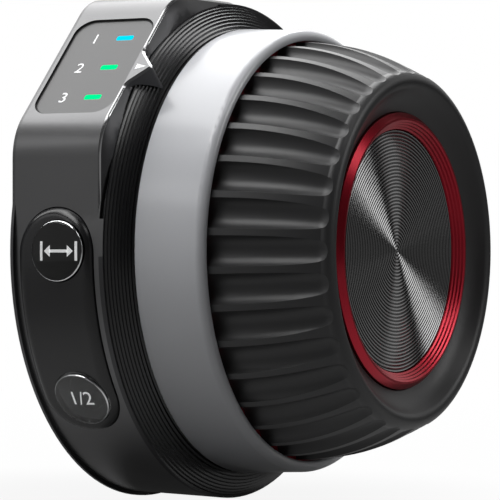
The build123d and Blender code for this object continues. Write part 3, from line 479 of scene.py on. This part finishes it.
board_green = finish_of("green solder mask", (0.015, 0.10, 0.045), 0.35)
grain(board_green, size=0.25 * mm, height=0.004 * mm, roughness=(0.30, 0.42))
dress(board_green, "main_board", "sensor_board", "indicator_board", "upper_switch_board",
      "lower_switch_board")
chip_black = finish_of("moulded chip black", (0.02, 0.02, 0.02), 0.6)
grain(chip_black, size=0.10 * mm, height=0.006 * mm, roughness=(0.54, 0.68))
dress(chip_black, "position_sensor", "power_switch", "upper_switch", "lower_switch")
ceramic = finish_of("antenna ceramic", (0.75, 0.72, 0.62), 0.5)
grain(ceramic, size=0.10 * mm, height=0.003 * mm, roughness=(0.44, 0.58))
dress(ceramic, "antenna")
foil = finish_of("cell foil", (0.60, 0.61, 0.63), 0.35, Metallic=1.0)
grain(foil, size=1.2 * mm, height=0.05 * mm, roughness=(0.28, 0.42))
dress(foil, "battery_cell")
foam = finish_of("foam pad", (0.08, 0.08, 0.085), 0.95)
grain(foam, size=0.20 * mm, height=0.06 * mm, roughness=(0.90, 1.0))
dress(foam, "battery_pad")
lamp_resin = finish_of("lamp resin", (0.82, 0.80, 0.68), 0.3)
grain(lamp_resin, size=0.10 * mm, height=0.002 * mm, roughness=(0.25, 0.36))
dress(lamp_resin, "indicator_leds")


# Floor: a pale round floor under the rim of the drum, which keeps the object's shadow. Its white
# is painted less towards the middle, a painted shadow: the camera sees it a little greyer near
# the object, and glossy and clear pieces see it dark under the object, pale just outside and
# dimmer further out.

floor_level = cad_box[0][2] - 0.02 * mm
floor_reach = 0.35
floor_sides = 96
floor_paint = finish_of("pale floor", (0.15, 0.15, 0.15), 0.9, Specular_IOR_Level=0.0)
floor_spot = node(floor_paint, "ShaderNodeTexCoord")
distance = node(floor_paint, "ShaderNodeVectorMath", operation="LENGTH")
wire(floor_paint, floor_spot.outputs["Object"], distance.inputs[0])
outward_share = work_out(floor_paint, "DIVIDE", distance.outputs["Value"], floor_reach)


def white_share(near, middle, far):
    """How white the floor looks, from three pairs of a share of its reach and a level.
    Low levels near the middle paint a shadow under the object.
    """
    fade = node(floor_paint, "ShaderNodeValToRGB")
    fade.color_ramp.interpolation = "EASE"
    stops = fade.color_ramp.elements
    for stop, (share, level) in zip(stops, (near, far)):
        stop.position = share
        stop.color = (level, level, level, 1)
    share, level = middle
    stops.new(share).color = (level, level, level, 1)
    wire(floor_paint, outward_share, fade.inputs["Fac"])
    return fade.outputs["Color"]


def mirrored_in(owner, rays):
    """1 where a glossy or a clear piece shows the floor or the studio, and 0 elsewhere."""
    return work_out(owner, "MAXIMUM", rays["Is Glossy Ray"], rays["Is Transmission Ray"])


# Both shares below are lower near the object, a painted shadow.
floor_rays = node(floor_paint, "ShaderNodeLightPath").outputs
seen = work_out(floor_paint, "MULTIPLY", floor_rays["Is Camera Ray"],
                white_share(near=(0.10, 0.90), middle=(0.22, 0.99), far=(1.0, 1.0)))
mirrored = work_out(floor_paint, "MULTIPLY", mirrored_in(floor_paint, floor_rays),
                    white_share(near=(0.115, 0.04), middle=(0.16, 0.42), far=(0.33, 0.12)))
white = node(floor_paint, "ShaderNodeEmission")
mixed = node(floor_paint, "ShaderNodeMixShader")
wire(floor_paint, work_out(floor_paint, "MAXIMUM", seen, mirrored), mixed.inputs[0])
wire(floor_paint, shader_of(floor_paint).outputs[0], mixed.inputs[1])
wire(floor_paint, white.outputs[0], mixed.inputs[2])
wire(floor_paint, mixed.outputs[0],
     floor_paint.node_tree.nodes["Material Output"].inputs["Surface"])
shape = bmesh.new()
bmesh.ops.create_circle(shape, cap_ends=True, segments=floor_sides, radius=floor_reach)
bmesh.ops.translate(shape, verts=shape.verts[:], vec=(0, 0, floor_level))
mesh = bpy.data.meshes.new("floor")
shape.to_mesh(mesh)
shape.free()
floor = object_of("floor", mesh, floor_paint)


# Studio: a white background, pale walls that only glossy and clear pieces show, and four soft
# lamps that are turned to the wheel.

studio = bpy.data.worlds.new("studio")
bpy.context.scene.world = studio
studio.use_nodes = True
sky = node(studio, "ShaderNodeTexCoord").outputs["Generated"]
dimmest = 0.05


def toward(direction, start, end, high, low=0.0):
    """A soft-edged wall: low away from a direction, high towards it."""
    facing = node(studio, "ShaderNodeVectorMath", operation="DOT_PRODUCT")
    facing.inputs[1].default_value = direction
    wire(studio, sky, facing.inputs[0])
    step = node(studio, "ShaderNodeMapRange", interpolation_type="SMOOTHSTEP")
    set_values(step, From_Min=start, From_Max=end, To_Min=low, To_Max=high)
    wire(studio, facing.outputs["Value"], step.inputs["Value"])
    return step.outputs["Result"]


side_wall = toward((-0.45, -0.89, 0), start=0.50, end=0.95, high=0.42, low=0.03)
front_wall = toward((0.99, 0.07, 0), start=0.85, end=0.99, high=0.22)
edge_wall = toward((0.624, 0.05, 0.78), start=0.975, end=0.997, high=2.4)
back_wall = toward((-0.48, 0.83, 0.28), start=0.78, end=0.97, high=1.0)
right_wall = toward((0.28, 0.86, 0.42), start=0.93, end=0.99, high=0.75)
walls = side_wall
for wall in (front_wall, edge_wall, back_wall, right_wall):
    walls = work_out(studio, "MAXIMUM", walls, wall)
studio_rays = node(studio, "ShaderNodeLightPath").outputs
mirrored_walls = work_out(studio, "MULTIPLY", mirrored_in(studio, studio_rays), walls)
lit = work_out(studio, "MAXIMUM", mirrored_walls, dimmest)
shown = work_out(studio, "MAXIMUM", lit, studio_rays["Is Camera Ray"])
background = studio.node_tree.nodes["Background"]
set_values(background, Color=(1, 1, 1, 1))
wire(studio, shown, background.inputs["Strength"])

aim = Vector((17.47 * mm, 0, 0))


def turn_to_wheel(made):
    made.rotation_euler = (aim - made.location).to_track_quat("-Z", "Y").to_euler()


def softbox(name, place, size, radiance):
    """A soft lamp of a given brightness, whatever its size."""
    lamp = bpy.data.lights.new(name, "AREA")
    lamp.shape = "RECTANGLE"
    lamp.size, lamp.size_y = size
    lamp.energy = radiance * pi * size[0] * size[1]
    holder = bpy.data.objects.new(name, lamp)
    bpy.context.scene.collection.objects.link(holder)
    holder.location = place
    turn_to_wheel(holder)


softbox("overhead", place=(-0.259, 0.192, 0.604), size=(1.00, 0.66), radiance=3.9)
softbox("strip", place=(0.578, 0.31, 0.28), size=(0.26, 0.20), radiance=4.0)
softbox("key", place=(-0.043, -0.27, 0.51), size=(0.30, 0.30), radiance=5.2)
softbox("left", place=(-0.33, -0.50, 0.30), size=(0.40, 0.12), radiance=1.4)


# Camera: a long lens that looks level at the wheel, from 30 degrees off its side and under half
# a metre away.

camera_turn = radians(30.2)
camera_distance = 437.96 * mm
lens = bpy.data.cameras.new("camera")
lens.lens = 216
lens.sensor_width = 36
lens.shift_y = 0.002
lens.clip_start = 0.01
lens.clip_end = 20
camera = bpy.data.objects.new("camera", lens)
bpy.context.scene.collection.objects.link(camera)
camera.location = aim + camera_distance * Vector((sin(camera_turn), -cos(camera_turn), 0))
turn_to_wheel(camera)
bpy.context.scene.camera = camera
bpy.context.scene.view_settings.view_transform = "Standard"
